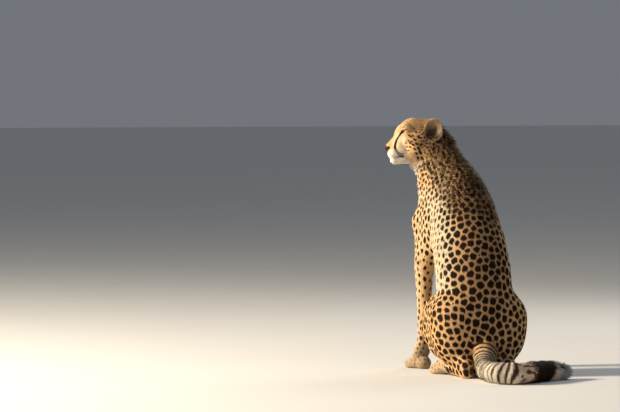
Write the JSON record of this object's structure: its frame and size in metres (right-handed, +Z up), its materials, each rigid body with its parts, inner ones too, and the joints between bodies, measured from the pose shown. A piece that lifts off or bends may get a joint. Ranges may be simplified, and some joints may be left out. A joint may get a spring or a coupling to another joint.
{
  "type": "sitting cheetah model",
  "caption": "Still, life-size cheetah that sits on its haunches, its head turned over its left shoulder and its tail curled on the floor.",
  "frame": {"origin": "on the floor, under the middle of the whole model's box", "axes": "+X the way the trunk and the forepaws face, +Y to the animal's left, +Z up"},
  "size_m": [0.8344, 0.471, 0.9044],
  "materials": {
    "coat": "matte",
    "pale_coat": "matte",
    "eyes": "gloss",
    "nose_and_claws": "satin"
  },
  "bodies": {
    "root": {"torso": "coat", "neck": "coat", "head": "coat", "ear_left": "coat", "ear_right": "coat", "upper_foreleg_left": "coat", "forearm_left": "coat", "thigh_left": "coat", "lower_leg_left": "coat", "upper_foreleg_right": "coat", "forearm_right": "coat", "thigh_right": "coat", "lower_leg_right": "coat", "tail_base": "coat", "tail_bend": "coat", "tail_banded": "coat", "forepaw_left": "pale_coat", "forepaw_right": "pale_coat", "hind_foot_left": "pale_coat", "hind_foot_right": "pale_coat", "tail_tip": "pale_coat", "eye_left": "eyes", "eye_right": "eyes"}
  },
  "joints": []
}
